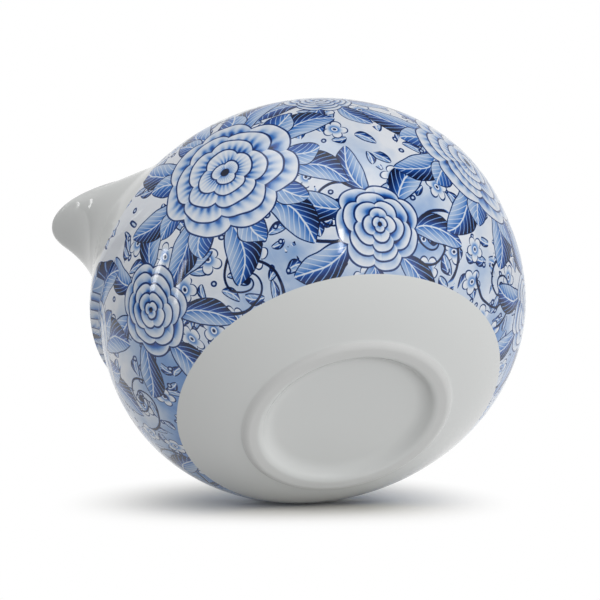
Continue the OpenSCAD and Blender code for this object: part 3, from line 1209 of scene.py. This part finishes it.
@dataclass(frozen=True)
class Sweep:
    """Matt white floor, seen from above only. Metres.

    It keeps the shadow next to the pot, and turns paper white away from it. Light passes through
    it but for the part near the contact, which keeps the light from the pot's underside.

    Attributes:
        shade_bounce_hex: a grey, darker than shown_hex, the colour that is seen, so that it throws
            back
            less light: painted shade on the pot's underside.
        fade: distances between which it turns white, from a middle fade_shift to the right.
        fade_front: distance towards the camera in which it turns white.
        contact: distances in which it opens, from a middle contact_shift towards the pot's foot.
    """

    rings: tuple[float, ...] = (0.03, 0.07, 0.12, 0.2, 0.32, 0.5)
    sides: int = 96
    gap: float = 0.0001
    # painted shade: a grey that throws little light back on the pot's underside
    shade_bounce_hex: str = "#CBCBC9"
    shown_hex: str = "#FDFAF1"
    fade: tuple[float, float] = (0.018, 0.056)
    fade_shift: float = -0.004
    fade_front: float = 0.045
    contact: tuple[float, float] = (0.018, 0.042)
    contact_shift: float = 0.015

    def lay(self, body: Thing, normal: Vector, view: View) -> Thing:
        """Lays the floor.

        Args:
            body: what lies on the floor.
            normal: upward direction of the floor, in the pot's frame.
            view: directions of the camera.

        Returns:
            The floor.
        """
        touch = min((v.co for v in body.data.vertices), key=lambda co: co.dot(normal)).copy()
        middle = touch - normal * self.gap
        side = normal.cross(view.back).normalized()
        bm = bmesh.new()
        hub = bm.verts.new(middle)
        turns = [2 * math.pi * k / self.sides for k in range(self.sides)]
        ways = [side * math.cos(t) + normal.cross(side) * math.sin(t) for t in turns]
        rows = [[bm.verts.new(middle + way * r) for way in ways] for r in self.rings]
        for k in range(self.sides):
            bm.faces.new((hub, rows[0][k], rows[0][(k + 1) % self.sides]))
        band(bm, rows[::-1])
        floor = put_down("floor", bm)
        if floor.data.polygons[0].normal.dot(normal) < 0:
            floor.data.flip_normals()
        foot = Vector((0.0, 0.0, -1.0))
        foot = (foot - normal * foot.dot(normal)).normalized()
        shadow = touch + view.right * self.fade_shift
        floor.data.materials.append(self.material(shadow, touch + foot * self.contact_shift, view))
        return floor

    def material(self, shadow: Vector, dark: Vector, view: View) -> Material:
        """Builds the floor's material.

        Args:
            shadow: middle of the shadow, next to where the pot touches the floor.
            dark: middle of the part that keeps the light from the pot's underside.
            view: directions of the camera.

        Returns:
            The material.
        """
        material = bpy.data.materials.new("matt_white_sweep")
        tree = empty_tree(material)
        # the grey that the lights meet paints shade on the pot's underside
        matt = add_node(tree, "ShaderNodeBsdfDiffuse", {"Color": linear(self.shade_bounce_hex)})
        shown = add_node(tree, "ShaderNodeBsdfDiffuse", {"Color": linear(self.shown_hex)})
        bright = add_node(tree, "ShaderNodeEmission", {"Color": linear(WHITE), "Strength": 1.0})
        clear = add_node(tree, "ShaderNodeBsdfTransparent")
        coords = object_coords(tree)
        offset = vector_math(tree, "SUBTRACT", coords, shadow).outputs["Vector"]
        away, near = (
            Field(tree, vector_math(tree, kind, offset, view.back).outputs["Value"])
            for kind in ("LENGTH", "DOT_PRODUCT")
        )
        apart = Field(tree, vector_math(tree, "DISTANCE", coords, dark).outputs["Value"])
        rays = add_node(tree, "ShaderNodeLightPath").outputs
        kinds = ("Camera", "Glossy", "Diffuse", "Shadow")
        camera, glossy, diffuse, shade = (Field(tree, rays[f"Is {kind} Ray"]) for kind in kinds)
        # to the eye and in the glaze: shadow next to the pot, paper white away from it
        fade = away.step(self.fade[1], self.fade[0]) * near.step(self.fade_front, 0.0)
        lit = mix_shader(tree, fade, bright, shown)
        seen = mix_shader(tree, camera.most(glossy), matt, lit)
        # to the light: closed near the contact only
        back = Field(tree, add_node(tree, "ShaderNodeNewGeometry").outputs["Backfacing"])
        gone = back.most(diffuse.most(shade) * apart.step(*self.contact))
        out = mix_shader(tree, gone, seen, clear)
        add_node(tree, "ShaderNodeOutputMaterial", {"Surface": out.outputs[0]})
        return material


def mix_shader(tree: Tree, mask: Field, one: Node, two: Node) -> Node:
    """Shader one, and two where mask is 1."""
    inputs = {0: mask.socket, 1: one.outputs[0], 2: two.outputs[0]}
    return add_node(tree, "ShaderNodeMixShader", inputs)


@dataclass(frozen=True)
class Studio:
    """Camera, floor and lights. Degrees and metres, and millimetres for the sensor.

    The pot lies tipped over on its side in the studio. The scene keeps the pot upright in its own
    frame and tips the studio instead.

    Attributes:
        beak_turn: angle round the pot from the beak to the camera.
        focal_px: focal length, and centre_px the middle of the belly, in pixels of the image.
        floor_pitch: angle at which the camera looks down on the floor.
        tent: brightness of the tent's wall as a light, without its glows.
    """

    beak_turn: float = 69.7
    elevation: float = -42.99
    roll: float = -17.5
    distance: float = 0.55
    focal_px: float = 2342.0
    centre_px: tuple[float, float] = (311.2, 302.3)
    sensor: float = 36.0
    clip: tuple[float, float] = (0.01, 20.0)
    floor_pitch: float = 3.2
    tent: float = 0.10

    def view(self) -> View:
        """Directions of the camera in the pot's frame."""
        a, e, r = (math.radians(v) for v in (self.beak_turn, self.elevation, self.roll))
        back = Vector((math.cos(a) * math.cos(e), math.sin(a) * math.cos(e), math.sin(e)))
        side = Vector((-math.sin(a), math.cos(a), 0.0))
        up = back.cross(side)
        right, up = side * math.cos(r) + up * math.sin(r), up * math.cos(r) - side * math.sin(r)
        return View(right, up, back)

    def camera(self, target: Vector) -> Thing:
        """Puts the camera on the line from target, the middle of the belly."""
        data = bpy.data.cameras.new("camera")
        data.sensor_width = self.sensor
        data.lens = self.focal_px / IMAGE_PX * self.sensor
        data.shift_x = (IMAGE_PX / 2 - self.centre_px[0]) / IMAGE_PX
        data.shift_y = (self.centre_px[1] - IMAGE_PX / 2) / IMAGE_PX
        data.clip_start, data.clip_end = self.clip
        obj = link("camera", data)
        obj.matrix_world = self.view().stand(target, self.distance)
        bpy.context.scene.camera = obj
        return obj

    def floor(self, body: Thing) -> Thing:
        """Lays the floor under the side on which body lies."""
        view = self.view()
        pitch = math.radians(self.floor_pitch)
        normal = (view.up * math.cos(pitch) + view.back * math.sin(pitch)).normalized()
        floor = Sweep().lay(body, normal, view)
        return floor

    def world(self) -> bpy.types.World:
        """White tent round the pot: paper white to the eye, softer as a light."""
        world = bpy.data.worlds.new("white_tent")
        tree = empty_tree(world)
        way = add_node(tree, "ShaderNodeTexCoord").outputs["Generated"]
        first, *others = (glow.strength(tree, way, self.view()) for glow in GLOWS)
        level = sum(others, first) + self.tent
        seen, light = (
            add_node(tree, "ShaderNodeBackground", {"Color": linear(WHITE), "Strength": strength})
            for strength in (1.0, level.socket)
        )
        path = add_node(tree, "ShaderNodeLightPath")
        mix = mix_shader(tree, Field(tree, path.outputs["Is Camera Ray"]), light, seen)
        add_node(tree, "ShaderNodeOutputWorld", {"Surface": mix.outputs[0]})
        bpy.context.scene.world = world
        return world

    def light(self, target: Vector) -> None:
        """Sets the softboxes round the pot."""
        for box in SOFTBOXES:
            box.place(target, self.view())


def dress(obj: Thing, material: Material) -> None:
    """Gives obj one material and no other."""
    obj.data.materials.clear()
    obj.data.materials.append(material)
    LOG.info("%s: %d faces, %s", obj.name, len(obj.data.polygons), material.name)


def main() -> None:
    """Builds the teapot piece by piece and sets the studio round it."""
    pot = PotBody()
    glaze = GlazedPorcelain().make()
    printed = GlazedPorcelain("printed_glazed_porcelain").make(FloralPrint(), pot.profile)
    cover = GlazedPorcelain("printed_glazed_lid_porcelain").make(CoverPrint(), pot.profile)
    body = pot.build()
    dress(body, printed)
    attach(body, "pot")
    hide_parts("pot_body", "pouring_beak")
    for name, material in (("spout_strainer", glaze), ("lid", cover), ("lid_knob", cover)):
        dress(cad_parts[name], material)
    studio = Studio()
    middle = Vector((0, 0, pot.profile.belly_h * MM))
    studio.camera(middle)
    studio.floor(body)
    studio.light(middle)
    studio.world()
    bpy.context.scene.view_settings.view_transform = "Standard"
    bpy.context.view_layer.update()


if __name__ == "__main__":
    main()
